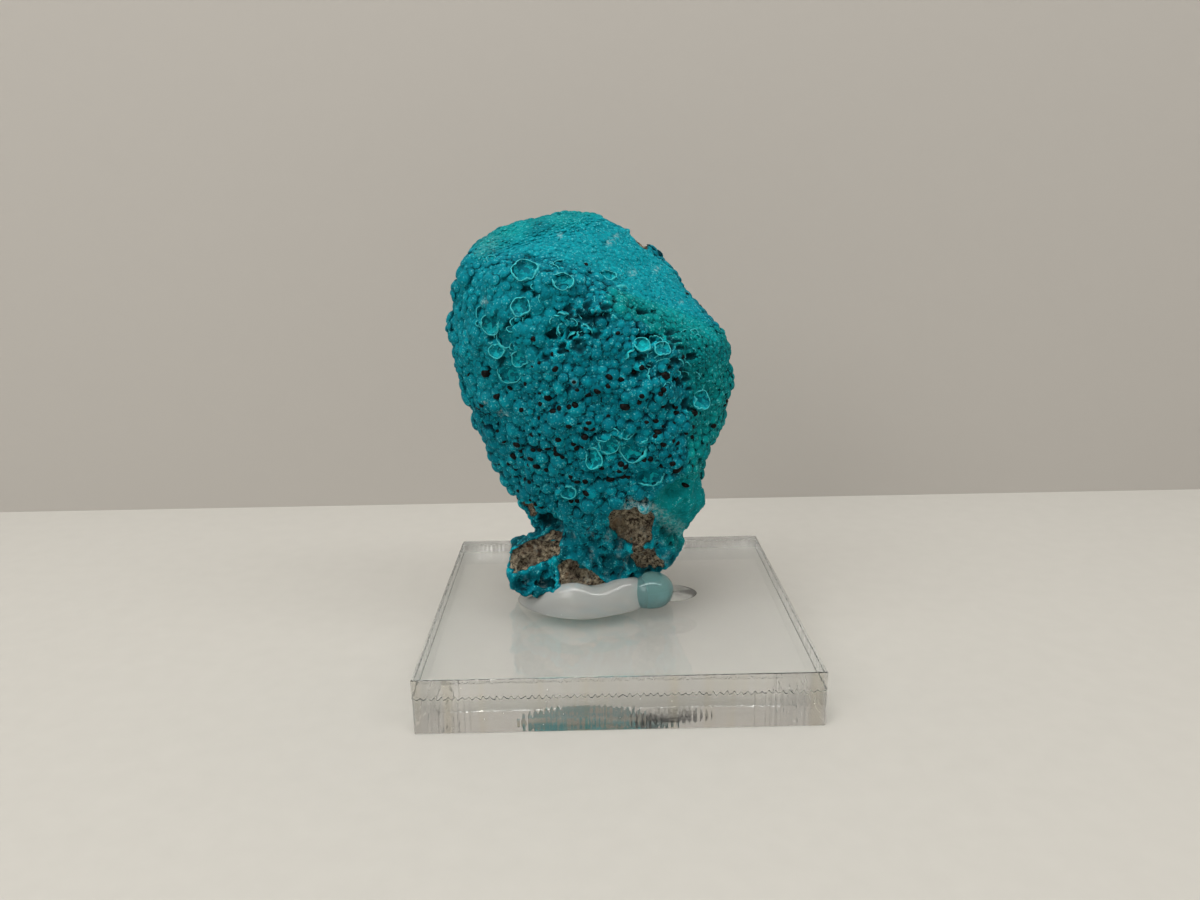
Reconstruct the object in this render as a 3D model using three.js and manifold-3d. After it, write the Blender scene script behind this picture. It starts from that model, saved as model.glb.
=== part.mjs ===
// A chrysocolla specimen: a stone with a grape-like blue-green crust over brown matrix,
// fixed with clear glue to a clear acrylic display base.
// Millimetres, +Z up. The front is towards -Y. The origin is the middle of the base's underside.
import * as THREE from 'three';
import { mergeVertices } from 'three/addons/utils/BufferGeometryUtils.js';
import Module from 'manifold-3d';

const wasm = await Module();
wasm.setup();

// Acrylic base
const BASE_SIDE = 44.5;
const BASE_THICKNESS = 6.35;
const BASE_EDGE = 0.25; // the small flat on each sawn edge

// Clearance between pieces that touch on the real object
const GAP = 0.3;

// Body of the stone: how far its four sides reach, as pairs of height and reach
const BODY_MIDDLE = [-1.5, -0.5, 33];
const BODY_LEFT = [[8.5, -9.6], [14, -10], [17, -10.1], [18.6, -10.8], [20.8, -12.1], [25.6, -14.9],
  [30.9, -16.6], [36.4, -17.9], [42.3, -18.8], [47.5, -18.4], [51.3, -16.4]];
const BODY_RIGHT = [[8.5, 6.6], [14.4, 8.9], [20.3, 11.1], [25, 10.5], [27.5, 10.8], [29.5, 12.9], [34, 13.9],
  [38, 14]];
const BODY_FRONT = [[8.5, -4.8], [16, -5.8], [22, -8.8], [30, -12.2], [38, -13.2], [46, -12.6]];
const BODY_BACK = [[8.5, 6.5], [16, 8], [22, 9.5], [30, 10.5], [38, 11], [46, 10]];

// Flatter faces that cut its corners: the way each one looks, and a point that it goes through
const BODY_FACES = [
  { name: 'top slope', looks: [0.46, -0.46, 0.76], through: [-2.8, 4.6, 56.2] },
  { name: 'left shoulder', looks: [-0.2, -0.28, 0.94], through: [-11.6, 5, 53.4] },
  { name: 'right slope', looks: [0.85, 0.1, 0.52], through: [10.9, 2, 43.2] },
  { name: 'front left', looks: [-0.72, -0.69, -0.05], through: [-14.8, -9, 40] },
  { name: 'front right', looks: [0.62, -0.78, -0.05], through: [9, -9.4, 34] },
  { name: 'lower front left', looks: [-0.5, -0.78, -0.38], through: [-7.8, -3.6, 17] },
  { name: 'lower front right', looks: [0.4, -0.75, -0.5], through: [4.8, -3, 10.2] },
  { name: 'back top', looks: [0.12, 0.86, 0.5], through: [-3, 7.2, 55.2] },
  { name: 'back left', looks: [-0.7, 0.7, 0.1], through: [-13.6, 7.8, 38] },
  { name: 'back right', looks: [0.76, 0.65, 0], through: [11, 6.8, 34] },
  { name: 'underside', looks: [0.05, -0.05, -1], through: [0, 0, 8.6] },
];

// Foot: the lower left end, with a flat broken face at the front
const FOOT_MIDDLE = [-7, -1, 12.4];
const FOOT_LEFT = [[8, -13], [14, -12.9]];
const FOOT_RIGHT = [[8, 0], [16, -1]];
const FOOT_FRONT = [[8, -6.2], [16, -5.6]];
const FOOT_BACK = [[8, 5.4], [16, 4.6]];
const FOOT_FACES = [
  { name: 'foot top', looks: [-0.36, 0.24, 0.9], through: [-9.4, -4, 16.4] },
  { name: 'foot front right', looks: [0.62, -0.78, 0], through: [-2.6, -5.4, 12] },
  { name: 'foot underside', looks: [0.07, 0, -1], through: [-12.7, -4, 8.3] },
];

const ROUNDING = 20; // how sharp the edges between the sides are
const BODY_HALF_SIZE = [16.5, 11.5, 23.5];
const BODY_DETAIL = 18; // splits of each of the twenty starting triangles
const FOOT_HALF_SIZE = [6.3, 5.2, 4.3];
const FOOT_DETAIL = 6;
const FRONT_SHARE = 4; // how far the mesh is drawn towards the front, where the detail is
const SEARCH_REACH = 60; // further from the middle than any surface point
const SEARCH_STEPS = 26;
const SLOPE_NUDGE = 0.4; // short way either side of a point, for measuring how the surface looks

// Lumps of the crust
const BODY_LUMPS = 430;
const FOOT_LUMPS = 50;
const LUMP_SCATTER = 0.06; // how far lumps stray from their even spread
const LUMP_RADIUS = [1.5, 2.7];
const LUMP_HEIGHT = 0.5; // of its radius
const SMOOTH_LUMP_HEIGHT = 0.14; // on the top slope, where the crust is nearly smooth
const FOOT_LUMP_HEIGHT = 0.24;
const MEAN_LUMP = 1.5; // the body is drawn in by this times the lump height

// Where the crust ends and the brown matrix shows
const CRUST_BACK_EDGE = 5; // the crust wraps round the sides as far as this
const CRUST_EDGE_SWING = { reach: 1.6, length: 17 };
const CRUST_THICKNESS = 0.9;
const MATRIX_RIDGES = { height: 1.1, length: 11 };
const MATRIX_ROUGHNESS = { height: 0.35, length: 4.3 };
const MATRIX_PATCHES = [
  { name: 'upper patch', at: [1.6, -6.8, 18.2], radius: 2.5 },
  { name: 'lower patch', at: [4.2, -5, 13.2], radius: 2.1 },
  { name: 'foot face', at: [-9.8, -6.2, 13.2], radius: 3.2 },
  { name: 'foot edge', at: [-4.6, -5.6, 11], radius: 2 },
];

// Broken bubbles and hollows in the crust
const HOLLOWS = [
  { name: 'oval bubble', at: [-9.5, -8, 48.7], radius: 1.8, depth: 1 },
  { name: 'round bubble', at: [-5.3, -10, 47.1], radius: 1.4, depth: 0.8 },
  { name: 'dark hollow', at: [-3.5, -11.5, 45.7], radius: 1.9, depth: 1.4 },
  { name: 'left bubbles', at: [-11.4, -10.6, 42.2], radius: 2, depth: 0.9 },
  { name: 'middle bubble', at: [-6.3, -12.5, 41.8], radius: 1.5, depth: 1 },
  { name: 'open cup', at: [-11.2, -11, 37.4], radius: 1.5, depth: 0.9 },
  { name: 'broken right side', at: [4.5, -10.5, 40.5], radius: 2.6, depth: 1.3 },
  { name: 'open bubbles', at: [2.1, -12, 28.9], radius: 1.8, depth: 0.9 },
  { name: 'dish', at: [4, -10.8, 25.1], radius: 1.9, depth: 1 },
  { name: 'ring', at: [-5.2, -10, 23.4], radius: 1.3, depth: 0.8 },
  { name: 'under the ledge', at: [9.6, -6.4, 30], radius: 2.2, depth: 1.1 },
  { name: 'above the foot', at: [-8.6, -4.4, 17.6], radius: 2, depth: 1.2 },
  { name: 'dark hole', at: [-8, -6, 10.7], radius: 1.3, depth: 1.2 },
];

// Glue: middle, half width and depth, and height of each clear bead, from the base's top
const GLUE_PAD = { middle: [-5, -1.1], half: [7.2, 6], height: 3.2, squareness: 2.3 };
const GLUE_DROP = { middle: [4.8, -2.7], half: [2.1, 2], height: 4.2, squareness: 2.3 };
const GLUE_PATCH = { middle: [7.6, 0.5], half: [3.9, 3.3], height: 4.9, squareness: 2.1 };
const GLUE_STEPS_UP = 6;
const GLUE_STEPS_ROUND = 28;

const point = (v) => new THREE.Vector3(...v);
const unit = (v) => point(v).normalize();

// A seeded random number from 0 to 1, the same on every run.
function seeded(seed) {
  let state = seed;
  return () => {
    state = (Math.imul(state, 1664525) + 1013904223) >>> 0;
    return state / 4294967296;
  };
}

// The reach of a side at a height, between the pairs of its list.
function reachAt(side, z) {
  if (z <= side[0][0]) return side[0][1];
  for (let i = 1; i < side.length; i++) {
    const [lowZ, lowReach] = side[i - 1];
    const [highZ, highReach] = side[i];
    if (z <= highZ) {
      return THREE.MathUtils.mapLinear(z, lowZ, highZ, lowReach, highReach);
    }
  }
  return side[side.length - 1][1];
}

// A rounded block about a middle point, enclosed by its four sides and its faces.
function block(middle, sides, faces) {
  const centre = point(middle);
  const planes = faces.map((face) => {
    const normal = unit(face.looks);
    return { normal, reach: normal.dot(point(face.through).sub(centre)) };
  });
  // 1 on the surface, less inside and more outside
  function fullness(p) {
    const x = p.x - centre.x;
    const y = p.y - centre.y;
    const shares = [
      x / (reachAt(sides.left, p.z) - centre.x),
      x / (reachAt(sides.right, p.z) - centre.x),
      y / (reachAt(sides.front, p.z) - centre.y),
      y / (reachAt(sides.back, p.z) - centre.y),
    ];
    for (const { normal, reach } of planes) {
      shares.push((normal.dot(p) - normal.dot(centre)) / reach);
    }
    let sum = 0;
    for (const share of shares) {
      sum += Math.max(0, share) ** ROUNDING;
    }
    return sum ** (1 / ROUNDING);
  }
  // Surface point in a direction, and the way the surface looks there
  function surface(direction) {
    let inner = 0;
    let outer = SEARCH_REACH;
    const p = new THREE.Vector3();
    for (let step = 0; step < SEARCH_STEPS; step++) {
      const reach = (inner + outer) / 2;
      p.copy(centre).addScaledVector(direction, reach);
      if (fullness(p) < 1) inner = reach;
      else outer = reach;
    }
    const slope = (x, y, z) => {
      const nudge = point([x, y, z]).multiplyScalar(SLOPE_NUDGE);
      return fullness(p.clone().add(nudge)) - fullness(p.clone().sub(nudge));
    };
    const looks = point([slope(1, 0, 0), slope(0, 1, 0), slope(0, 0, 1)]).normalize();
    return { at: p, looks };
  }
  return { surface };
}

// A slow waviness of a given wavelength, from -1 to 1.
function wave(p, length, phase) {
  const k = (2 * Math.PI) / length;
  return (
    (Math.sin(k * (p.x + 0.4 * p.z) + phase) +
      Math.sin(k * (0.9 * p.y - 0.5 * p.x + 0.3 * p.z) + 2.1 * phase) +
      Math.sin(k * (p.z - 0.3 * p.y) + 3.7 * phase)) / 3
  );
}

// Even directions round a sphere, on a spiral.
function spiral(count, index) {
  const z = 1 - (2 * (index + 0.5)) / count;
  const turn = index * Math.PI * (3 - Math.sqrt(5));
  const r = Math.sqrt(1 - z * z);
  return new THREE.Vector3(r * Math.cos(turn), r * Math.sin(turn), z);
}

// A closed mesh of triangles as a solid.
function solidOf(geometry) {
  const bare = geometry.clone();
  bare.deleteAttribute('normal');
  bare.deleteAttribute('uv');
  const merged = mergeVertices(bare, 1e-4);
  return new wasm.Manifold(new wasm.Mesh({
    numProp: 3,
    vertProperties: new Float32Array(merged.attributes.position.array),
    triVerts: new Uint32Array(merged.index.array),
  }));
}

function geometryOf(solid) {
  const mesh = solid.getMesh();
  const geometry = new THREE.BufferGeometry();
  geometry.setAttribute('position', new THREE.BufferAttribute(mesh.vertProperties, mesh.numProp));
  geometry.setIndex(new THREE.BufferAttribute(mesh.triVerts, 1));
  geometry.computeVertexNormals();
  return geometry;
}

function lumpsOn(shape, halfSize, count) {
  const random = seeded(7);
  const lumps = [];
  for (let i = 0; i < count; i++) {
    const spread = spiral(count, i);
    spread.x += LUMP_SCATTER * (random() - 0.5);
    spread.z += LUMP_SCATTER * (random() - 0.5);
    const direction = spread.multiply(point(halfSize)).normalize();
    const { at } = shape.surface(direction);
    lumps.push({ at, radius: THREE.MathUtils.lerp(...LUMP_RADIUS, random() ** 2) });
  }
  return lumps;
}

function lumpHeight(lumps, p) {
  let height = 0;
  for (const lump of lumps) {
    const apart = lump.at.distanceTo(p) / lump.radius;
    if (apart < 1) {
      height = Math.max(height, lump.radius * Math.sqrt(1 - apart * apart));
    }
  }
  return height;
}

// How far a point is into the crust (1) and not on bare matrix (0).
function crustShare(p) {
  const edge = CRUST_BACK_EDGE + CRUST_EDGE_SWING.reach * wave(p, CRUST_EDGE_SWING.length, 1.3);
  let share = THREE.MathUtils.smoothstep(edge - p.y, -0.8, 0.8);
  for (const patch of MATRIX_PATCHES) {
    const apart = point(patch.at).distanceTo(p) / patch.radius;
    share *= THREE.MathUtils.smoothstep(apart, 0.75, 1.15);
  }
  return share;
}

function hollowDepth(p) {
  let depth = 0;
  for (const hollow of HOLLOWS) {
    const apart = point(hollow.at).distanceTo(p) / hollow.radius;
    depth = Math.max(depth, hollow.depth * (1 - THREE.MathUtils.smoothstep(apart, 0.55, 1.1)));
  }
  return depth;
}

// Height of the broken matrix: sharp ridges, and a finer roughness over them.
function brokenHeight(p) {
  const ridges = 0.4 - Math.abs(wave(p, MATRIX_RIDGES.length, 0.7));
  return MATRIX_RIDGES.height * ridges + MATRIX_ROUGHNESS.height * wave(p, MATRIX_ROUGHNESS.length, 2.2);
}

function topSlopeShare(looks) {
  const slope = unit(BODY_FACES[0].looks);
  return THREE.MathUtils.smoothstep(looks.dot(slope), 0.8, 0.95);
}

// One block of the stone with its crust, grown outwards by a margin.
function crustedBlock(shape, { halfSize, detail, frontShare, lumpCount, lumpiness }, margin) {
  const lumps = lumpsOn(shape, halfSize, lumpCount);
  const ball = new THREE.IcosahedronGeometry(1, detail);
  ball.deleteAttribute('normal');
  ball.deleteAttribute('uv');
  const geometry = mergeVertices(ball, 1e-5);
  const place = geometry.attributes.position;
  for (let i = 0; i < place.count; i++) {
    const direction = new THREE.Vector3().fromBufferAttribute(place, i);
    direction.multiply(point(halfSize)).add(point([0, -frontShare, 0])).normalize();
    const { at, looks } = shape.surface(direction);
    const crust = crustShare(at);
    const bumpiness = THREE.MathUtils.lerp(lumpiness, SMOOTH_LUMP_HEIGHT, topSlopeShare(looks));
    const crustHeight = bumpiness * (lumpHeight(lumps, at) - MEAN_LUMP);
    const matrixHeight = brokenHeight(at) - CRUST_THICKNESS;
    const height = THREE.MathUtils.lerp(matrixHeight, crustHeight, crust) - hollowDepth(at);
    at.addScaledVector(looks, height + margin);
    place.setXYZ(i, at.x, at.y, at.z);
  }
  return solidOf(geometry);
}

function stone(margin) {
  const bodySides = { left: BODY_LEFT, right: BODY_RIGHT, front: BODY_FRONT, back: BODY_BACK };
  const footSides = { left: FOOT_LEFT, right: FOOT_RIGHT, front: FOOT_FRONT, back: FOOT_BACK };
  const bodyShape = block(BODY_MIDDLE, bodySides, BODY_FACES);
  const footShape = block(FOOT_MIDDLE, footSides, FOOT_FACES);
  const bodyMesh = {
    halfSize: BODY_HALF_SIZE, detail: BODY_DETAIL, frontShare: FRONT_SHARE,
    lumpCount: BODY_LUMPS, lumpiness: LUMP_HEIGHT,
  };
  const footMesh = {
    halfSize: FOOT_HALF_SIZE, detail: FOOT_DETAIL, frontShare: 0,
    lumpCount: FOOT_LUMPS, lumpiness: FOOT_LUMP_HEIGHT,
  };
  const body = crustedBlock(bodyShape, bodyMesh, margin);
  const foot = crustedBlock(footShape, footMesh, margin);
  return body.add(foot);
}

function base() {
  const half = BASE_SIDE / 2 - BASE_EDGE;
  const outline = new THREE.Shape([
    new THREE.Vector2(-half, -half), new THREE.Vector2(half, -half),
    new THREE.Vector2(half, half), new THREE.Vector2(-half, half),
  ]);
  const geometry = new THREE.ExtrudeGeometry(outline, {
    depth: BASE_THICKNESS - 2 * BASE_EDGE,
    bevelSize: BASE_EDGE,
    bevelThickness: BASE_EDGE,
    bevelSegments: 1,
  });
  geometry.translate(0, 0, BASE_EDGE);
  return geometry;
}

// A low rounded bead of glue standing on the base, grown sideways and up by a margin.
function bead({ middle, half, height, squareness }, margin) {
  const outline = [new THREE.Vector2(0, 0)];
  for (let step = 0; step <= GLUE_STEPS_UP; step++) {
    const turn = (Math.PI / 2) * (step / GLUE_STEPS_UP);
    const out = Math.cos(turn) ** (2 / squareness);
    const up = Math.sin(turn) ** (2 / squareness);
    outline.push(new THREE.Vector2(step === GLUE_STEPS_UP ? 0 : out, up));
  }
  const geometry = new THREE.LatheGeometry(outline, GLUE_STEPS_ROUND);
  geometry.rotateX(Math.PI / 2);
  geometry.scale(half[0] + margin, half[1] + margin, height + margin);
  geometry.translate(middle[0], middle[1], BASE_THICKNESS + GAP);
  return solidOf(geometry);
}

// The largest of the pieces that a cut leaves.
function largest(solid) {
  const pieces = solid.decompose();
  pieces.sort((a, b) => b.volume() - a.volume());
  return pieces[0];
}

function named(name, geometry, material) {
  const mesh = new THREE.Mesh(geometry, material);
  mesh.name = name;
  return mesh;
}

const chrysocolla = new THREE.MeshStandardMaterial({ color: 0x0e8c93, roughness: 0.6, metalness: 0 });
const acrylic = new THREE.MeshStandardMaterial({
  color: 0xe6ecea, roughness: 0.05, metalness: 0, transparent: true, opacity: 0.3,
});
const glue = new THREE.MeshStandardMaterial({
  color: 0xe4eceb, roughness: 0.1, metalness: 0, transparent: true, opacity: 0.4,
});

const roomForStone = stone(GAP);
const pad = bead(GLUE_PAD, 0).subtract(roomForStone);
const drop = bead(GLUE_DROP, 0).subtract(roomForStone);
const patch = bead(GLUE_PATCH, 0).subtract(roomForStone).subtract(bead(GLUE_DROP, GAP));

const specimen = new THREE.Group();
specimen.add(named('chrysocolla', geometryOf(stone(0)), chrysocolla));
specimen.add(named('display_base', base(), acrylic));
specimen.add(named('glue_pad', geometryOf(largest(pad)), glue));
specimen.add(named('glue_drop', geometryOf(largest(drop)), glue));
specimen.add(named('glue_patch', geometryOf(largest(patch)), glue));

export default specimen;
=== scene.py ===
# %% [markdown]
# # A chrysocolla specimen on its acrylic base
#
# The real object is a stone about 33 mm wide and 47 mm tall. A blue-green crust of tiny
# grape-like bubbles covers brown matrix, and clear glue holds its foot to a clear square
# of acrylic. Everything here is in metres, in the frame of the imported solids, so each
# new piece goes where its solid is. We load those solids first and keep their box.

import math

import bmesh
import bpy
import numpy as np
from mathutils import Matrix, Vector, noise
from mathutils.bvhtree import BVHTree
from mathutils.kdtree import KDTree


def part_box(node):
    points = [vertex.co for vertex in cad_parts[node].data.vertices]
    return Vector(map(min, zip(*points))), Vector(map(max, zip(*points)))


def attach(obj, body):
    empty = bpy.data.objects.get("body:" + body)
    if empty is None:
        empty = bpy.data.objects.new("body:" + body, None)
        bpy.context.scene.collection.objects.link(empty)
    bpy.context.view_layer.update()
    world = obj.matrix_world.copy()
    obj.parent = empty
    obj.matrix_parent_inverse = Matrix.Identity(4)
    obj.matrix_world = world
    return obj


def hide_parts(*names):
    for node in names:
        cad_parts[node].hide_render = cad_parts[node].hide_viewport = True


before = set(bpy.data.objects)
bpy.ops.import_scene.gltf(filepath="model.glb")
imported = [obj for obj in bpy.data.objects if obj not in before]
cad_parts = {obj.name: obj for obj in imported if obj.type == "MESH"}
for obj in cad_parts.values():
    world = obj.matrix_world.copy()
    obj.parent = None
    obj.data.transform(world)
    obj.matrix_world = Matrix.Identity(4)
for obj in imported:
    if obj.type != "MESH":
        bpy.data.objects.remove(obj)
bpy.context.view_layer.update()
MM = 0.001

# %% [markdown]
# ## The camera
#
# The picture is 1200 by 900 pixels. Its viewpoint was worked out from the eight corners of
# the square base, so the camera needs no adjusting by eye. It is given by the directions
# in which the picture's right and down run, and we use the same numbers to turn a place in
# the picture into a ray, which is how each bubble and bead is put where it belongs.

# %% Make the camera
PICTURE = (1200, 900)
FOCAL_PX = 940.7
SENSOR_WIDTH = 36.0
CAMERA_PLACE = np.array((-2.6447, -113.6126, 53.6755)) * MM
CAMERA_RIGHT = np.array((0.99977729, -0.01406935, -0.01572997))
CAMERA_DOWN = np.array((-0.01863553, -0.23875615, -0.97090073))
CAMERA_FORWARD = np.cross(CAMERA_RIGHT, CAMERA_DOWN)

camera_data = bpy.data.cameras.new("camera")
camera_data.sensor_width = SENSOR_WIDTH
camera_data.lens = FOCAL_PX / PICTURE[0] * SENSOR_WIDTH
camera_data.clip_start, camera_data.clip_end = 0.005, 20
camera = bpy.data.objects.new("camera", camera_data)
turn = Matrix(np.array((CAMERA_RIGHT, -CAMERA_DOWN, -CAMERA_FORWARD)).T.tolist())
camera.matrix_world = Matrix.Translation(CAMERA_PLACE.tolist()) @ turn.to_4x4()
bpy.context.scene.collection.objects.link(camera)
bpy.context.scene.camera = camera
print("lens in mm:", round(camera_data.lens, 2))


# %% Turn places in the picture into rays, and points back into the picture
def picture_ray(u, v):
    """The direction from the camera through a pixel."""
    ahead = CAMERA_FORWARD + CAMERA_RIGHT * (u - PICTURE[0] / 2) / FOCAL_PX
    ahead = ahead + CAMERA_DOWN * (v - PICTURE[1] / 2) / FOCAL_PX
    return ahead / np.linalg.norm(ahead)


def in_picture(points):
    """The pixels at which points are seen, as two columns."""
    away = points - CAMERA_PLACE
    depth = away @ CAMERA_FORWARD
    u = PICTURE[0] / 2 + FOCAL_PX * (away @ CAMERA_RIGHT) / depth
    v = PICTURE[1] / 2 + FOCAL_PX * (away @ CAMERA_DOWN) / depth
    return np.stack((u, v), axis=1)


# %% [markdown]
# ## Helpers for meshes and materials
#
# Most pieces here start as a list of points and faces, so one helper turns those into an
# object. Materials are built from nodes. A second helper adds a node and sets its inputs
# in one line, which keeps each material short enough to read.


# %% Mesh and node helpers
def make_piece(name, points, faces, smooth=True):
    """A mesh object from points in metres and faces."""
    mesh = bpy.data.meshes.new(name)
    mesh.from_pydata([tuple(p) for p in points], [], [tuple(f) for f in faces])
    mesh.validate()
    mesh.polygons.foreach_set("use_smooth", [smooth] * len(mesh.polygons))
    mesh.update()
    piece = bpy.data.objects.new(name, mesh)
    bpy.context.scene.collection.objects.link(piece)
    return piece


def ring_faces(rings, around):
    """The squares between closed rings of points that follow each other in a list."""
    squares = []
    for row in range(rings - 1):
        for step in range(around):
            a, b = row * around + step, row * around + (step + 1) % around
            squares.append((a, b, b + around, a + around))
    return squares


def feed(tree, socket, value):
    """Links a socket to another one, or sets its value."""
    if isinstance(value, bpy.types.NodeSocket):
        tree.links.new(value, socket)
    else:
        socket.default_value = value


def node(tree, kind, inputs=None, **settings):
    """One new node. Inputs are values or the sockets that feed them."""
    made = tree.nodes.new("ShaderNode" + kind)
    for key, value in settings.items():
        setattr(made, key, value)
    for key, value in (inputs or {}).items():
        feed(tree, made.inputs[key], value)
    return made


def colour(red, green, blue):
    """A colour from the 0 to 255 values of a paint program."""
    def linear(c):
        c = c / 255
        return c / 12.92 if c <= 0.04045 else ((c + 0.055) / 1.055) ** 2.4
    return (linear(red), linear(green), linear(blue), 1.0)


def mixed(tree, share, first, second):
    """A colour between two others."""
    return node(tree, "Mix", {0: share, 6: first, 7: second}, data_type="RGBA").outputs[2]


def ramp(tree, value, low, high):
    """0 below one value, 1 above another, and smooth between them."""
    made = node(tree, "MapRange", {"Value": value, "From Min": low, "From Max": high},
                interpolation_type="SMOOTHSTEP")
    return made.outputs["Result"]


def maths(tree, operation, first, second=0.0):
    return node(tree, "Math", {0: first, 1: second}, operation=operation).outputs[0]


def plus(tree, first, second):
    return maths(tree, "ADD", first, second)


def minus(tree, first, second):
    return maths(tree, "SUBTRACT", first, second)


def times(tree, first, second):
    return maths(tree, "MULTIPLY", first, second)


def swing(tree, value, amount):
    """A value from 0 to 1, turned into one that swings about zero."""
    return times(tree, minus(tree, value, 0.5), amount)


def scaled(tree, vector, factors):
    return node(tree, "VectorMath", {0: vector, 1: factors}, operation="MULTIPLY").outputs[0]


def texture(tree, place, scale, detail, **more):
    """The value of a noise texture. Its scale is per millimetre."""
    inputs = {"Vector": place, "Scale": scale, "Detail": detail, **more}
    return node(tree, "TexNoise", inputs).outputs["Fac"]


def bump(tree, height, strength, depth):
    """A normal from a height, with the depth of the relief in metres."""
    inputs = {"Height": height, "Strength": strength, "Distance": depth}
    return node(tree, "Bump", inputs).outputs["Normal"]


def new_material(name):
    material = bpy.data.materials.new(name)
    material.use_nodes = True
    material.node_tree.nodes.clear()
    return material


def dress(material, inputs):
    """Gives a material its shader and its output."""
    shader = node(material.node_tree, "BsdfPrincipled", inputs)
    node(material.node_tree, "OutputMaterial", {"Surface": shader.outputs[0]})


def in_mm(tree):
    """Places on the piece, in millimetres."""
    return scaled(tree, node(tree, "TexCoord").outputs["Object"], (1 / MM, 1 / MM, 1 / MM))


# %% [markdown]
# ## Table, wall and light
#
# The object was photographed on a pale table close to a warm grey wall, in soft light from
# above. The wall shows only from the front, so that the camera can also stand behind the
# object. The table lies a hair below the base, as a real one does: acrylic that touched
# its table like wet glass would lose the mirror images inside it.

# %% Stage
TABLE_GAP = 0.03 * MM
WALL_PLACE = 63 * MM
STAGE_REACH = 0.9

table_mat = new_material("pale table")
t = table_mat.node_tree
grain = texture(t, in_mm(t), 0.35, 6.0)
table_paint = mixed(t, grain, colour(198, 196, 190), colour(204, 202, 196))
dress(table_mat, {"Base Color": table_paint, "Roughness": 0.85, "Specular IOR Level": 0.2})

wall_mat = new_material("warm grey wall")
t = wall_mat.node_tree
paint = node(t, "BsdfPrincipled", {"Base Color": colour(186, 182, 176), "Roughness": 0.9})
seen_behind = node(t, "NewGeometry").outputs["Backfacing"]
nothing = node(t, "BsdfTransparent")
one_sided = node(t, "MixShader", {0: seen_behind, 1: paint.outputs[0], 2: nothing.outputs[0]})
node(t, "OutputMaterial", {"Surface": one_sided.outputs[0]})

r, floor, back = STAGE_REACH, -TABLE_GAP, WALL_PLACE
table_corners = [(-r, -r, floor), (r, -r, floor), (r, r, floor), (-r, r, floor)]
wall_corners = [(-r, back, floor), (r, back, floor), (r, back, r), (-r, back, r)]
table = make_piece("table", table_corners, [(0, 1, 2, 3)])
wall = make_piece("wall", wall_corners, [(0, 1, 2, 3)])
table.data.materials.append(table_mat)
wall.data.materials.append(wall_mat)


# %% Lights
LAMP_TINT = (1.0, 0.98, 0.95)
LAMP_AIM = Vector((0, 0, 0.025))
ROOM_TINT = (0.97, 0.94, 0.89, 1)
ROOM_STRENGTH = 0.3


def soft_lamp(name, place, wide, deep, watts):
    """A flat lamp that looks at the object."""
    data = bpy.data.lights.new(name, "AREA")
    data.shape = "RECTANGLE"
    data.size, data.size_y, data.energy, data.color = wide, deep, watts, LAMP_TINT
    lamp = bpy.data.objects.new(name, data)
    lamp.location = place
    lamp.rotation_euler = (LAMP_AIM - Vector(place)).to_track_quat("-Z", "Y").to_euler()
    bpy.context.scene.collection.objects.link(lamp)


# name, place, width and depth in metres, and watts
soft_lamp("ceiling light", (-0.06, -0.1, 0.5), 0.24, 0.24, 0.75)
soft_lamp("ceiling strip", (0.0, -0.24, 0.45), 1.1, 0.08, 1.75)
soft_lamp("window light", (-0.35, -0.5, 0.35), 0.3, 0.3, 0.82)
room = bpy.data.worlds.new("room")
room.use_nodes = True
room.node_tree.nodes["Background"].inputs["Color"].default_value = ROOM_TINT
room.node_tree.nodes["Background"].inputs["Strength"].default_value = ROOM_STRENGTH
bpy.context.scene.world = room
bpy.context.scene.view_settings.view_transform = "Standard"

# %% [markdown]
# ## The stone's skin
#
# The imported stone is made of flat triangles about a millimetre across, too coarse for a
# crust whose bubbles are that size. A voxel remesh lays an even skin of small squares over
# it. We then relax the skin, so that the triangles' edges go and the stone's shape stays.

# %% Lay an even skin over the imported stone
SKIN_STEP = 0.247 * MM
RELAX_ROUNDS = 14

packed_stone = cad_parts["chrysocolla"]
shell = bmesh.new()
shell.from_mesh(packed_stone.data)
bmesh.ops.remove_doubles(shell, verts=shell.verts, dist=0.002 * MM)
rough_mesh = bpy.data.meshes.new("rough stone")
shell.to_mesh(rough_mesh)
shell.free()
rough = bpy.data.objects.new("rough stone", rough_mesh)
bpy.context.scene.collection.objects.link(rough)
even = rough.modifiers.new("even skin", "REMESH")
even.mode = "VOXEL"
even.voxel_size = SKIN_STEP
bpy.context.view_layer.update()
skin = bpy.data.meshes.new_from_object(rough.evaluated_get(bpy.context.evaluated_depsgraph_get()))
bpy.data.objects.remove(rough)
print("skin:", len(skin.vertices), "points,", len(skin.polygons), "faces")


# %% Relax it
def read(mesh, what, name, width):
    values = np.empty(len(getattr(mesh, what)) * width)
    getattr(mesh, what).foreach_get(name, values)
    return values.reshape(-1, width) if width > 1 else values


edges = np.empty(len(skin.edges) * 2, np.int32)
skin.edges.foreach_get("vertices", edges)
edges = edges.reshape(-1, 2)
point_count = len(skin.vertices)
neighbours = np.bincount(edges.ravel(), minlength=point_count)


def spread(values, rounds, share=0.5):
    """Values averaged with those of the neighbouring points."""
    columns = np.atleast_2d(values.T.astype(float))
    first, second = edges[:, 0], edges[:, 1]
    for _ in range(rounds):
        for column in columns:
            total = np.bincount(first, column[second], point_count)
            total += np.bincount(second, column[first], point_count)
            column += share * (total / neighbours - column)
    return columns[0] if values.ndim == 1 else columns.T.copy()


def normals_of(points):
    skin.vertices.foreach_set("co", points.ravel())
    skin.update()
    return read(skin, "vertex_normals", "vector", 3)


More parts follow.
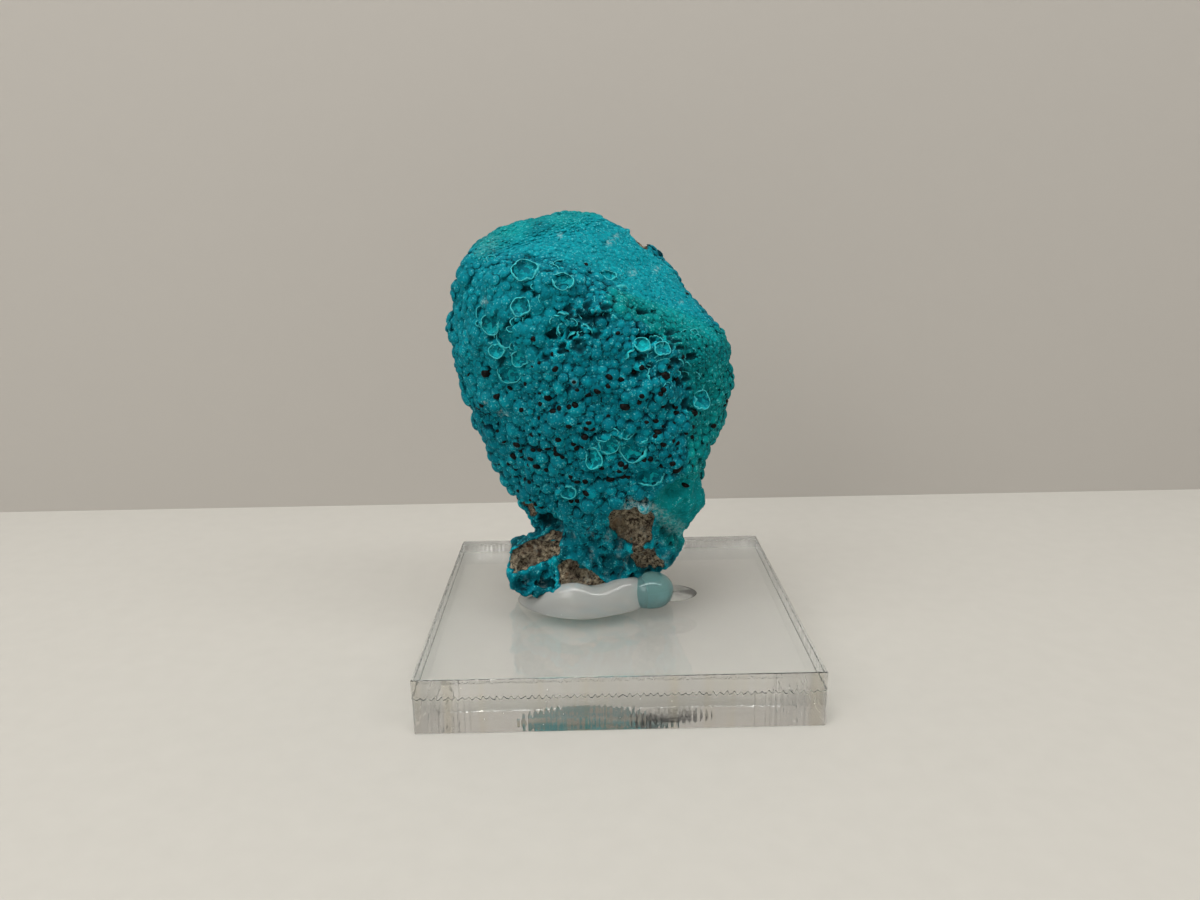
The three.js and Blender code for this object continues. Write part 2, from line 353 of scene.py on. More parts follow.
body = spread(read(skin, "vertices", "co", 3), RELAX_ROUNDS)
facing = spread(normals_of(body), 6)
facing /= np.linalg.norm(facing, axis=1)[:, None]
print("relaxed:", np.round(body.min(0) / MM, 2), np.round(body.max(0) / MM, 2))

# %% [markdown]
# ## Where each part of the crust is
#
# The crust isn't the same all over. The sloping top is nearly smooth, the right side is
# greener and finely knobby, and brown matrix shows in patches low on the front and all
# over the back. We mark these regions as shares from 0 to 1 on the skin's points. The
# outlines are in pixels of the picture, and count only where the stone faces the camera.

# %% Region helpers
to_camera = CAMERA_PLACE - body
to_camera /= np.linalg.norm(to_camera, axis=1)[:, None]
front = np.clip(np.sum(facing * to_camera, axis=1) / 0.25, 0, 1)
pixels = in_picture(body)


def smoothstep(values, low, high):
    t = np.clip((values - low) / (high - low), 0, 1)
    return t * t * (3 - 2 * t)


def inside(outline, also_edge_on=False):
    """1 for the points that are seen inside an outline, 0 for the others."""
    u, v = pixels[:, 0], pixels[:, 1]
    hit = np.zeros(point_count, bool)
    for (u0, v0), (u1, v1) in zip(outline, outline[1:] + outline[:1]):
        crosses = (v0 > v) != (v1 > v)
        at = u0 + (v - v0) * (u1 - u0) / ((v1 - v0) or 1e-9)
        hit ^= crosses & (u < at)
    return hit * (np.sum(facing * to_camera, axis=1) > -0.3) if also_edge_on else hit * front


def rumple(points, size, seed):
    """Soft random hills of a given size, from about -1 to 1."""
    shift = Vector((seed * 7.31, seed * 3.17, seed * 5.73))
    return np.array([noise.noise(Vector(p) / size + shift) for p in points]) * 1.6


# %% Regions
SMOOTH_SLOPE = [(468, 262), (480, 240), (510, 226), (545, 214), (600, 209), (633, 232), (670, 267),
                (700, 307), (722, 343), (690, 325), (655, 306), (625, 292), (600, 272), (550, 256),
                (505, 252)]
KNOBBY_RIGHT = [(655, 318), (700, 312), (735, 345), (735, 425), (704, 430), (684, 410), (668, 375)]
KNOBBY_RIM = [(466, 268), (480, 240), (500, 224), (545, 210), (602, 205), (602, 218), (566, 232),
              (530, 240), (500, 254)]
UPPER_MATRIX = [(609, 516), (613, 508), (626, 511), (635, 507), (645, 511), (656, 518), (652, 527),
                (650, 535), (651, 544), (640, 544), (628, 543), (612, 528)]
LOWER_MATRIX = [(633, 544), (652, 548), (664, 561), (667, 572), (652, 574), (640, 567), (633, 553)]
FOOT_MATRIX = [(508, 553), (522, 545), (554, 529), (561, 536), (558, 552), (543, 562), (513, 572)]
FOOT_EDGE_MATRIX = [(556, 564), (566, 560), (578, 562), (581, 573), (600, 577), (608, 590), (575, 592),
                    (560, 582)]
SLIVER_MATRIX = [(519, 499), (533, 503), (535, 513), (528, 520)]
UPPER_LEFT = [(450, 300), (462, 262), (520, 262), (570, 285), (560, 330), (520, 390), (470, 400),
              (452, 350)]
SMOOTH_FACET = [(655, 487), (676, 478), (700, 474), (706, 484), (704, 520), (692, 545), (668, 534),
                (650, 505)]
TOP_SLIVER = [(618, 206), (632, 216), (648, 236), (649, 250), (640, 243), (629, 230), (620, 218)]
GREENER = [(610, 286), (655, 300), (690, 312), (742, 340), (744, 430), (716, 470), (716, 545), (664, 548),
           (650, 500), (686, 470), (690, 400), (676, 350), (640, 322), (606, 304)]

on_slope = spread(inside(SMOOTH_SLOPE), 60) + 0.28 * rumple(body, 2.2 * MM, 7)
on_slope = smoothstep(on_slope - 0.35 * spread(inside(KNOBBY_RIM), 16), 0.1, 0.95)
upper_left = spread(inside(UPPER_LEFT, also_edge_on=True), 40)
on_facet = spread(inside(SMOOTH_FACET, also_edge_on=True), 12)
low_down = smoothstep(-body[:, 2] + 1.2 * MM * rumple(body, 2.5 * MM, 12), -19.5 * MM, -16 * MM)
knobby = spread(np.maximum(inside(KNOBBY_RIGHT), inside(KNOBBY_RIM)), 8)
whole_rim = inside(KNOBBY_RIM, also_edge_on=True)
greener = spread(np.maximum(inside(GREENER, also_edge_on=True), 0.8 * whole_rim), 50)

BACK_EDGE = 5.0 * MM
ragged = 1.5 * MM * rumple(body, 6 * MM, 1) + 0.5 * MM * rumple(body, 1.6 * MM, 2)
bare = smoothstep(body[:, 1] + ragged, BACK_EDGE, BACK_EDGE + 0.5 * MM)
fringe = 0.24 * rumple(body, 0.9 * MM, 8)
for outline in (UPPER_MATRIX, LOWER_MATRIX, FOOT_MATRIX, FOOT_EDGE_MATRIX, SLIVER_MATRIX):
    bare = np.maximum(bare, smoothstep(spread(inside(outline), 6) + fringe, 0.22, 0.55))
bare = np.maximum(bare, spread(inside(TOP_SLIVER, also_edge_on=True), 2))
print("bare matrix:", round(100 * bare.mean()), "% of the skin")

# %% [markdown]
# ## The bubbles of the crust
#
# Chrysocolla grows outwards from many seeds, and each seed makes a small ball. Where two
# balls meet there is a sharp crease. We scatter seeds that keep apart by the size of their
# balls, then raise every point of the skin to the highest ball above it. That gives
# creases that no noise texture can. The balls sag a little, as the real ones seem to.


# %% Scatter the seeds
def scatter(candidates, radius_of, closeness, seed):
    """Seeds that keep apart by a share of their radii."""
    rng = np.random.default_rng(seed)
    cell = 2.0 * MM
    grid = {}
    kept = []
    for index in rng.permutation(candidates):
        place, radius = body[index], radius_of[index]
        key = tuple((place // cell).astype(int))
        near = (k for dx in (-1, 0, 1) for dy in (-1, 0, 1) for dz in (-1, 0, 1)
                for k in grid.get((key[0] + dx, key[1] + dy, key[2] + dz), ()))
        if all(np.linalg.norm(body[k] - place) > closeness * (radius + radius_of[k]) for k in near):
            grid.setdefault(key, []).append(index)
            kept.append(index)
    return kept


rng = np.random.default_rng(4)
size_draw = rng.random(point_count)
middle_band = smoothstep(pixels[:, 1], 330, 400) * (1 - smoothstep(pixels[:, 1], 500, 540))
clusters = smoothstep(rumple(body, 3.2 * MM, 9), -0.7, 0.7)
ball_radius = (0.4 + 0.26 * clusters + 0.42 * size_draw ** 1.6 + 0.26 * middle_band * size_draw) * MM
ball_radius = ball_radius * (1 - 0.45 * knobby) * (1 - 0.4 * on_slope)
seeds = scatter(np.flatnonzero(bare < 0.5), ball_radius, 0.62, 11)
print("balls in the crust:", len(seeds))

# %% Raise the skin to the balls
tree = KDTree(point_count)
for index, place in enumerate(body):
    tree.insert(place, index)
tree.balance()

BALL_FLATNESS = 0.9
ball_height = np.zeros(point_count)
ball_number = np.zeros(point_count, int)
ball_edge = np.ones(point_count)
stand_out = rng.normal(0, 0.13, point_count)


def raise_balls(numbers, radii):
    for index in numbers:
        radius = radii[index]
        for place, at, apart in tree.find_range(body[index], radius * 0.99):
            height = math.sqrt(radius * radius - apart * apart) * BALL_FLATNESS + stand_out[index] * radius
            if height > ball_height[at]:
                ball_height[at] = height
                ball_number[at] = index
                ball_edge[at] = apart / radius


raise_balls(seeds, ball_radius)
small_radius = (0.3 + 0.16 * size_draw) * MM
gaps = np.flatnonzero((ball_height < 0.22 * MM) & (bare < 0.5))
small_seeds = scatter(gaps, small_radius, 0.7, 12)
raise_balls(small_seeds, small_radius)
print("small balls in the gaps:", len(small_seeds))

lowness = (1 - 0.45 * on_slope) * (1 - 0.2 * knobby) * (1 - 0.75 * on_facet)
lowness = lowness * (1 - 0.4 * low_down) * (1 - 0.3 * upper_left)
crust_rise = (ball_height - 0.36 * MM) * lowness
print("crust rises", np.round(np.percentile(crust_rise / MM, [1, 50, 99]), 2), "mm")

# %% [markdown]
# ## Broken bubbles and hollows
#
# Some of the balls were hollow and have broken open. Each leaves a cup in the crust and a
# thin pale wall round it. The cups are pressed into the skin here. The walls are thinner
# than the skin's squares, so they get a mesh of their own later. Each one is listed by the
# pixel at its middle and its half width and half height in the picture.

# %% Find where a pixel lands on the stone
skin_faces = np.empty(len(skin.loops), np.int32)
skin.loops.foreach_get("vertex_index", skin_faces)
sides = np.empty(len(skin.polygons), np.int32)
skin.polygons.foreach_get("loop_total", sides)
face_list = np.split(skin_faces, np.cumsum(sides)[:-1])


def landing(points):
    """A function that gives the place and facing of the stone at a pixel."""
    surface = BVHTree.FromPolygons([tuple(p) for p in points], [tuple(f) for f in face_list])

    def land(u, v):
        place, facing_there, _, _ = surface.ray_cast(Vector(CAMERA_PLACE), Vector(picture_ray(u, v)))
        return (np.array(place), np.array(facing_there)) if place is not None else (None, None)

    return land


land_on_body = landing(body)
PIXEL = 0.115 * MM  # one pixel of the picture, on the stone

# pixel, half width, half height
CUPS = [(525, 269, 13, 12), (491, 259, 5, 5), (563, 281, 10, 9), (521, 307, 9, 9), (491, 324, 10, 10),
        (508, 337, 10, 11), (497, 351, 8, 7), (521, 358, 9, 8), (511, 373, 12, 9), (569, 491, 8, 8),
        (609, 444, 10, 9), (633, 449, 14, 13), (594, 458, 8, 11), (626, 433, 7, 6), (650, 476, 15, 9),
        (608, 275, 9, 6), (641, 346, 8, 7), (662, 350, 8, 7), (700, 400, 10, 10)]
HOLLOWS = [(588, 317, 14, 8), (574, 330, 8, 6), (554, 333, 9, 5), (532, 274, 4, 4), (642, 310, 8, 4),
           (652, 336, 12, 6), (547, 582, 11, 5), (545, 520, 12, 9), (670, 405, 7, 5), (570, 334, 5, 6),
           (640, 500, 12, 4)]

# pixel, half width and half height of the areas full of small torn walls, and how many each has
JAGGED = [(508, 338, 26, 34, 12), (584, 318, 32, 20, 15), (566, 345, 24, 14, 8), (664, 352, 32, 24, 22),
          (690, 392, 24, 20, 7), (540, 280, 30, 16, 4), (625, 448, 22, 16, 5)]
tear_rng = np.random.default_rng(17)
torn_area = np.zeros(point_count)
for u, v, reach_u, reach_v, count in JAGGED:
    apart = np.hypot((pixels[:, 0] - u) / reach_u, (pixels[:, 1] - v) / reach_v)
    torn_area = np.maximum(torn_area, smoothstep(-apart, -1.15, -0.8) * front)
    for _ in range(count):
        spot = (u + 0.9 * reach_u * tear_rng.uniform(-1, 1), v + 0.9 * reach_v * tear_rng.uniform(-1, 1))
        HOLLOWS.append((*spot, tear_rng.uniform(3, 7), tear_rng.uniform(2.5, 5)))


def cup_shape(pressed, rows, depth_share, edge):
    """Presses rounded cups into the skin, and gives the share of each point inside one."""
    within = np.zeros(point_count)
    for u, v, half_width, half_height in rows:
        middle, _ = land_on_body(u, v)
        if middle is None:
            continue
        radius = PIXEL * (half_width + half_height) / 2
        squash = np.array((half_width, half_height)) * PIXEL
        for place, at, apart in tree.find_range(middle, 1.6 * radius):
            offset = body[at] - middle
            q = math.hypot(offset @ CAMERA_RIGHT / squash[0], offset @ CAMERA_DOWN / squash[1])
            q *= 1 + edge * noise.noise(Vector(offset) / (0.5 * MM))
            share = 1 - min(1.0, q) ** 2
            if share > 0:
                pressed[at] = max(pressed[at], depth_share * radius * share)
                within[at] = max(within[at], min(1.0, 2.5 * share))
    return within


pressed = np.zeros(point_count)
in_cup = cup_shape(pressed, CUPS, 0.42, 0.25)
in_hollow = cup_shape(pressed, HOLLOWS, 1.1, 0.5)
crumbs = 0.24 * MM * in_cup * rumple(body, 0.6 * MM, 19)
crust_rise = crust_rise * (1 - 0.75 * in_cup) * (1 - 0.3 * in_hollow) - pressed + crumbs

# %% [markdown]
# ## The bare matrix
#
# Where the crust has broken away, the brown matrix lies a little lower and has a sugary,
# granular break. On the back, which the picture doesn't show, we let it break in larger
# steps, as this kind of rock does. Small steps come from noise that is cut into levels.

# %% Shape the matrix and put the layers together
MATRIX_DROP = 0.55 * MM

steps = rumple(body * (1, 1, 0.6), 4.2 * MM, 3) + 0.5 * rumple(body, 1.7 * MM, 4)
levels = np.round(steps * 2.2) / 2.2
chips = np.abs(rumple(body, 7.5 * MM, 15))
broken = (0.75 * levels + 0.3 * steps - 1.4 * chips) * 0.75 * MM * smoothstep(body[:, 1], 3 * MM, 6.5 * MM)
grains = 0.13 * MM * rumple(body, 0.45 * MM, 5) + 0.1 * MM * rumple(body, 0.9 * MM, 6)
matrix_rise = broken + grains - MATRIX_DROP

swell = rumple(body, 3.4 * MM, 10) * (0.2 + 0.45 * low_down) * MM
swell = swell + 0.2 * low_down * MM * rumple(body, 1.5 * MM, 11)
ropes = 1 - 2 * np.abs(rumple(body * (1, 1, 0.55), 1.5 * MM, 13))
swell = swell + (0.34 * ropes - 0.3) * MM * low_down
swell = swell * (1 - 0.6 * on_slope) + 0.5 * MM * spread(whole_rim, 30)
swell = swell + 0.5 * MM * on_facet * (0.3 - 2 * np.abs(rumple(body * (1, 1, 0.7), 2.6 * MM, 17)))
rise = crust_rise * (1 - bare) + matrix_rise * bare + swell * (1 - smoothstep(body[:, 1], 2 * MM, 6 * MM))
SAG = 0.34
sag = np.zeros_like(body)
sag[:, 2] = -SAG * np.clip(ball_height * lowness, 0, None) * (1 - bare)
stone_points = body + facing * rise[:, None] + sag
stone_facing = normals_of(stone_points)
print("stone:", np.round(stone_points.min(0) / MM, 2), np.round(stone_points.max(0) / MM, 2))

# %% Record on the skin what the material needs
average = spread(rise, 8)
crest = np.clip(0.5 + (rise - average) / (0.5 * MM), 0, 1)
tint_of_ball = rng.random(point_count)[ball_number]


def keep(name, values, mesh=skin):
    layer = mesh.attributes.new(name, "FLOAT", "POINT")
    layer.data.foreach_set("value", np.asarray(values, np.float32))


keep("bare", bare)
# The crest share paints a highlight on the crests and shade in the creases.
keep("crest", crest)
keep("greener", greener)
slope_look = np.maximum.reduce((on_slope, 0.4 * upper_left, 0.7 * on_facet, 0.8 * in_cup))
keep("slope", slope_look)
# Dark spots low down are painted as shade in crannies, and the hollows are painted dark as shade.
painted_cranny_shade = smoothstep(rumple(body, 1.6 * MM, 14), 0.1, 0.6) * low_down
keep("hollow_shade", np.maximum(in_hollow, 0.75 * painted_cranny_shade) * (1 - in_cup))
keep("ball_tint", tint_of_ball)
# The edge share places the painted shade in the creases and the painted rim of light.
keep("ball_edge", ball_edge)
# Whitish patches of quartz. The third, on the top rim, is a faint painted highlight.
WHITISH = ([(618, 503), (630, 496), (644, 498), (656, 507), (660, 516), (648, 511), (634, 507), (622, 510)],
           [(652, 506), (664, 510), (686, 526), (686, 536), (672, 536), (658, 522)],
           [(488, 238), (500, 240), (496, 252), (482, 258), (474, 258)])
# Painted glints, each by its pixel and its reach in pixels.
PAINTED_GLINTS = [(610, 241, 6), (633, 271, 6), (616, 236, 4), (681, 302, 4), (657, 268, 5), (560, 236, 4),
            (486, 400, 5), (500, 411, 7), (508, 411, 5), (574, 380, 4), (486, 300, 5)]
whitish_and_glints = sum(share * spread(inside(outline), 4) for share, outline in zip((0.9, 0.4, 0.12), WHITISH))
veins = smoothstep(rumple(body * (1, 1, 0.4), 0.9 * MM, 18), 0.35, 0.9) * low_down * front
whitish_and_glints = np.maximum(whitish_and_glints, 0.3 * veins)
for u, v, reach in PAINTED_GLINTS:
    apart = np.hypot(pixels[:, 0] - u, pixels[:, 1] - v)
    whitish_and_glints = np.maximum(whitish_and_glints, 0.7 * front * smoothstep(-apart, -reach, 0))
keep("whitish_and_glints", whitish_and_glints)

skin.polygons.foreach_set("use_smooth", [True] * len(skin.polygons))
skin.name = "chrysocolla_stone"
stone = bpy.data.objects.new("chrysocolla_stone", skin)
bpy.context.scene.collection.objects.link(stone)
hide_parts("chrysocolla")
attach(stone, "root")

# %% [markdown]
# ## True domes on the balls
#
# The skin's squares are a quarter of a millimetre wide, which leaves the smaller balls
# with corners. Finer squares all over would make the mesh too heavy. So each whole ball
# gets a smooth dome that sits a hair above the skin and is closed underneath. Balls in
# the picture get domes with more rings than those on the sides that it doesn't show.

# %% Cap the balls with true domes
DOME_LIFT = 0.03 * MM


def domes(name, numbers, radii, segments, levels):
    """Smooth caps that sit on the skin's balls, where the skin is too coarse for them."""
    turns = np.linspace(0, 2 * math.pi, segments, endpoint=False)
    shares = np.repeat(levels, segments)
    across, along = np.tile(np.cos(turns), len(levels)) * shares, np.tile(np.sin(turns), len(levels)) * shares
    shares = np.concatenate(([0.0], shares))
    across, along = np.concatenate(([0.0], across)), np.concatenate(([0.0], along))
    one = [(0, 1 + i, 1 + (i + 1) % segments) for i in range(segments)]
    for row in range(len(levels) - 1):
        for i in range(segments):
            a, b = 1 + row * segments + i, 1 + row * segments + (i + 1) % segments
            one.append((a, a + segments, b + segments, b))
    one.append(tuple(1 + (len(levels) - 1) * segments + i for i in range(segments))[::-1])
    points, faces = [], []
    draw = np.random.default_rng(31)
    for index in numbers:
        radius, up = radii[index], facing[index]
        side = np.cross(up, (0.0, 0.0, 1.0) if abs(up[2]) < 0.9 else (1.0, 0.0, 0.0))
        side /= np.linalg.norm(side)
        other = np.cross(up, side)
        stretch = draw.uniform(0.9, 1.12)
        tall = BALL_FLATNESS * lowness[index]
        fall = radius * tall * (1 - np.sqrt(np.clip(1 - shares ** 2, 0, 1)))
        ring = np.outer(across * radius * stretch, side) + np.outer(along * radius / stretch, other)
        cap = stone_points[index] + DOME_LIFT * up + ring - np.outer(fall, up)
        cap[:, 2] += SAG * fall
        faces += [tuple(len(points) + i for i in face) for face in one]
        points += cap.tolist()
    piece = make_piece(name, points, faces)
    each = len(shares)
    for layer, values in (("greener", greener), ("slope", slope_look), ("ball_tint", tint_of_ball),
                          ("whitish_and_glints", whitish_and_glints)):
        keep(layer, np.repeat(values[numbers], each), piece.data)
    # On the domes, the edge share places the painted crease shade and rim of light. The crest share paints a
    # highlight on top and shade towards the edge.
    keep("ball_edge", np.tile(shares, len(numbers)), piece.data)
    keep("crest", np.tile(0.72 - 0.5 * shares ** 3, len(numbers)), piece.data)
    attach(piece, "root")
    print(name, len(numbers), "domes,", len(piece.data.polygons), "faces")
    return piece


seeds = np.array(seeds)
near_bare = spread(bare, 12)
loose = torn_area * (size_draw > 0.35)
limits = ((in_cup, 0.1), (in_hollow, 0.1), (near_bare, 0.12), (whitish_and_glints, 0.2), (low_down, 0.35),
          (on_facet, 0.3), (loose, 0.5))
whole_balls = seeds[np.all([share[seeds] < limit for share, limit in limits], axis=0)]
seen = (front[whole_balls] > 0.1) & (ball_number[whole_balls] == whole_balls)
front_domes = domes("front_bubbles", whole_balls[seen], ball_radius, 14, (0.32, 0.6, 0.83, 1.0))
side_domes = domes("side_bubbles", whole_balls[~seen], ball_radius, 10, (0.4, 0.75, 0.98))

# %% [markdown]
# ## The crust's colour and finish
#
# The crust is blue-green with a fine sugary grain of quartz. Shade is painted darker into its
# creases, hollows and crannies, and a highlight paler onto its crests. A pale rim of light is
# painted near the lower edges of the balls, and pale quartz specks are painted brighter on the
# crests, as glints. The right side is greener. The colour of each ball differs a little from
# its neighbours'. One material holds crust and matrix, because they are one stone, and the
# share of bare matrix chooses between the two.

# %% Helpers for shader groups
def new_group(name, inputs, outputs):
    """An empty group, with the sockets at its start and end."""
    group = bpy.data.node_groups.new(name, "ShaderNodeTree")
    for label, kind in inputs.items():
        group.interface.new_socket(name=label, in_out="INPUT", socket_type="NodeSocket" + kind)
    for label, kind in outputs.items():
        group.interface.new_socket(name=label, in_out="OUTPUT", socket_type="NodeSocket" + kind)
    return group, group.nodes.new("NodeGroupInput").outputs, group.nodes.new("NodeGroupOutput").inputs


def place_group(tree, group, inputs):
    placed = tree.nodes.new("ShaderNodeGroup")
    placed.node_tree = group
    for key, value in inputs.items():
        feed(tree, placed.inputs[key], value)
    return placed.outputs


def attribute(tree, name):
    return node(tree, "Attribute", attribute_name=name).outputs["Fac"]


# %% The sugary crust, as a group
crust_group, start, end = new_group(
    "sugary crust",
    {"Place": "Vector", "Crest": "Float", "Green": "Float", "Slope": "Float", "Hollow Shade": "Float",
     "Tint": "Float", "Edge": "Float"},
    {"Color": "Color", "Roughness": "Float", "Height": "Float"})
g, edge, slope = crust_group, start["Edge"], start["Slope"]
fine = texture(g, start["Place"], 3.6, 3.0, Roughness=0.6)
cloud = texture(g, start["Place"], 0.3, 4.0)
grain_cells = node(g, "TexVoronoi", {"Vector": start["Place"], "Scale": 3.4})
fleck_cells = node(g, "TexVoronoi", {"Vector": start["Place"], "Scale": 7.5})
fleck_draw = node(g, "SeparateColor", {"Color": fleck_cells.outputs["Color"]}).outputs[0]

# The crest share gives painted light, paler on crests and darker in creases. The noises and each ball's tint
# give its own random tone.
shading_and_tone = plus(g, start["Crest"], swing(g, fine, 0.55))
shading_and_tone = plus(g, shading_and_tone, swing(g, start["Tint"], 0.22))
shading_and_tone = plus(g, shading_and_tone, swing(g, cloud, 0.5))
# A painted rim of light near the edge of each ball, strongest on its lower side.
ring = times(g, ramp(g, edge, 0.58, 0.76), minus(g, 1.0, ramp(g, edge, 0.78, 0.9)))
ring = times(g, ring, ramp(g, fine, 0.42, 0.6))
greenness = ramp(g, plus(g, start["Green"], swing(g, cloud, 1.2)), 0.2, 1.0)
# Colours for painted shade, the crust's own middle colour and a painted highlight.
shadowed = mixed(g, greenness, colour(0, 36, 47), colour(0, 42, 46))
middling = mixed(g, greenness, colour(0, 110, 127), colour(0, 118, 120))
painted_highlight = mixed(g, greenness, colour(8, 162, 178), colour(6, 166, 164))
crust = mixed(g, ramp(g, shading_and_tone, 0.1, 0.55), shadowed, middling)
crust = mixed(g, ramp(g, shading_and_tone, 0.55, 1.05), crust, painted_highlight)
# Painted shade in the creases between balls.
painted_crease_shade = times(g, ramp(g, edge, 0.76, 0.96), minus(g, 0.9, times(g, slope, 0.5)))
crust = mixed(g, painted_crease_shade, crust, shadowed)
upward = node(g, "SeparateXYZ", {0: node(g, "NewGeometry").outputs["Normal"]}).outputs["Z"]
painted_rim_light_below = plus(g, 0.15, times(g, ramp(g, upward, 0.4, -0.4), 0.5))
crust = mixed(g, times(g, ring, painted_rim_light_below), crust, colour(36, 184, 196))
strands = texture(g, start["Place"], 1.5, 5.0, Roughness=0.7, Distortion=1.2)
sloping = mixed(g, ramp(g, strands, 0.36, 0.66), colour(0, 122, 136), colour(14, 170, 184))
sloping = mixed(g, times(g, greenness, 0.4), sloping, colour(2, 150, 142))
crust = mixed(g, times(g, slope, 0.7), crust, sloping)
# Painted shade in the hollows and crannies.
crust = mixed(g, times(g, start["Hollow Shade"], 0.75), crust, colour(0, 50, 58))
# Pale quartz specks, painted brighter where the tone is light, as glints.
quartz_speck_and_glint = times(g, ramp(g, fleck_draw, 0.9, 0.94), ramp(g, shading_and_tone, 0.35, 0.8))
crust = mixed(g, times(g, quartz_speck_and_glint, 0.55), crust, colour(120, 216, 220))
g.links.new(crust, end["Color"])
rough_there = plus(g, 0.5, times(g, fine, 0.3))
g.links.new(rough_there, end["Roughness"])
grain_height = minus(g, 1.0, grain_cells.outputs["Distance"])
grain_height = plus(g, times(g, fine, 1.1), times(g, grain_height, 0.8))
g.links.new(grain_height, end["Height"])
print("group made:", g.name)

# %% [markdown]
# ## The stone's material
#
# The brown matrix is a sugary mix of dark, brown and tan grains with rusty stains. We
# mix three sizes of noise for it. Pale needles of quartz fringe the largest patch, and a few
# glints are painted pale onto the crust. The border between crust and matrix is darkened a little.

# %% Stone material
stone_mat = new_material("chrysocolla crust on brown matrix")
t = stone_mat.node_tree
place = in_mm(t)
recorded = {"Crest": "crest", "Green": "greener", "Slope": "slope", "Hollow Shade": "hollow_shade",
            "Tint": "ball_tint", "Edge": "ball_edge"}
fed = {socket: attribute(t, layer) for socket, layer in recorded.items()}
crust_look = place_group(t, crust_group, {"Place": place, **fed})
small = texture(t, place, 1.9, 5.0, Roughness=0.8)
wide = texture(t, place, 0.55, 5.0)
rust = texture(t, place, 0.8, 3.0, Distortion=0.6)
stain = texture(t, place, 0.16, 5.0, Distortion=0.8)
rock = mixed(t, ramp(t, small, 0.4, 0.57), colour(44, 37, 34), colour(156, 144, 122))
# a noise, the values between which it sets in, its share, and the colour that it brings
rock_layers = ((small, 0.55, 0.68, 0.8, (212, 202, 174)), (wide, 0.46, 0.64, 0.4, (86, 74, 66)),
               (rust, 0.6, 0.74, 0.3, (146, 106, 74)), (stain, 0.5, 0.62, 0.35, (66, 56, 50)),
               (stain, 0.46, 0.36, 0.3, (172, 154, 124)))
for layer, none_at, full_at, share, tint in rock_layers:
    rock = mixed(t, times(t, ramp(t, layer, none_at, full_at), share), rock, colour(*tint))
seep = times(t, ramp(t, rust, 0.4, 0.3), ramp(t, wide, 0.5, 0.6))
rock = mixed(t, times(t, seep, 0.7), rock, colour(20, 104, 108))
edge_noise = swing(t, small, 1.1)
bare_here = plus(t, attribute(t, "bare"), edge_noise)
rock_share = ramp(t, bare_here, 0.42, 0.58)
past_border = ramp(t, bare_here, 0.5, 0.85)
# A band along the border between crust and matrix, darkened a little.
border = times(t, ramp(t, bare_here, 0.2, 0.45), minus(t, 1.0, past_border))
whole = mixed(t, rock_share, crust_look["Color"], rock)
whole = mixed(t, times(t, border, 0.5), whole, colour(26, 30, 28))
needles = texture(t, place, 2.6, 5.0, Roughness=0.75)
# Pale quartz needles and patches, and the painted glints and highlight.
whitish_and_glints = times(t, attribute(t, "whitish_and_glints"), ramp(t, needles, 0.42, 0.62))
whole = mixed(t, times(t, whitish_and_glints, 0.8), whole, colour(190, 214, 212))
roughness = node(t, "Mix", {0: rock_share, 2: crust_look["Roughness"], 3: 0.82}, data_type="FLOAT").outputs[0]
height = node(t, "Mix", {0: rock_share, 2: crust_look["Height"], 3: times(t, small, 4.5)},
              data_type="FLOAT").outputs[0]
dress(stone_mat, {"Base Color": whole, "Roughness": roughness, "Normal": bump(t, height, 0.7, 0.06 * MM),
                  "Specular IOR Level": 0.06})
stone.data.materials.clear()
for piece in (stone, front_domes, side_domes):
    piece.data.materials.append(stone_mat)

# %% [markdown]
# ## The walls of the broken bubbles
#
# Each broken bubble is an eggshell-thin cup with a ragged, pale rim. A cup is built in
# rings: up the outside, over the rim and down the inside. The angle of the rim changes
# round the cup with noise, so that the break looks torn. Where only an arc of a bubble's
# wall is left, the rim dives into the stone at both ends of the arc.

# %% Build the broken bubbles
WALL = 0.08 * MM
RING_STEPS, ROWS = 32, 7
land = landing(stone_points)


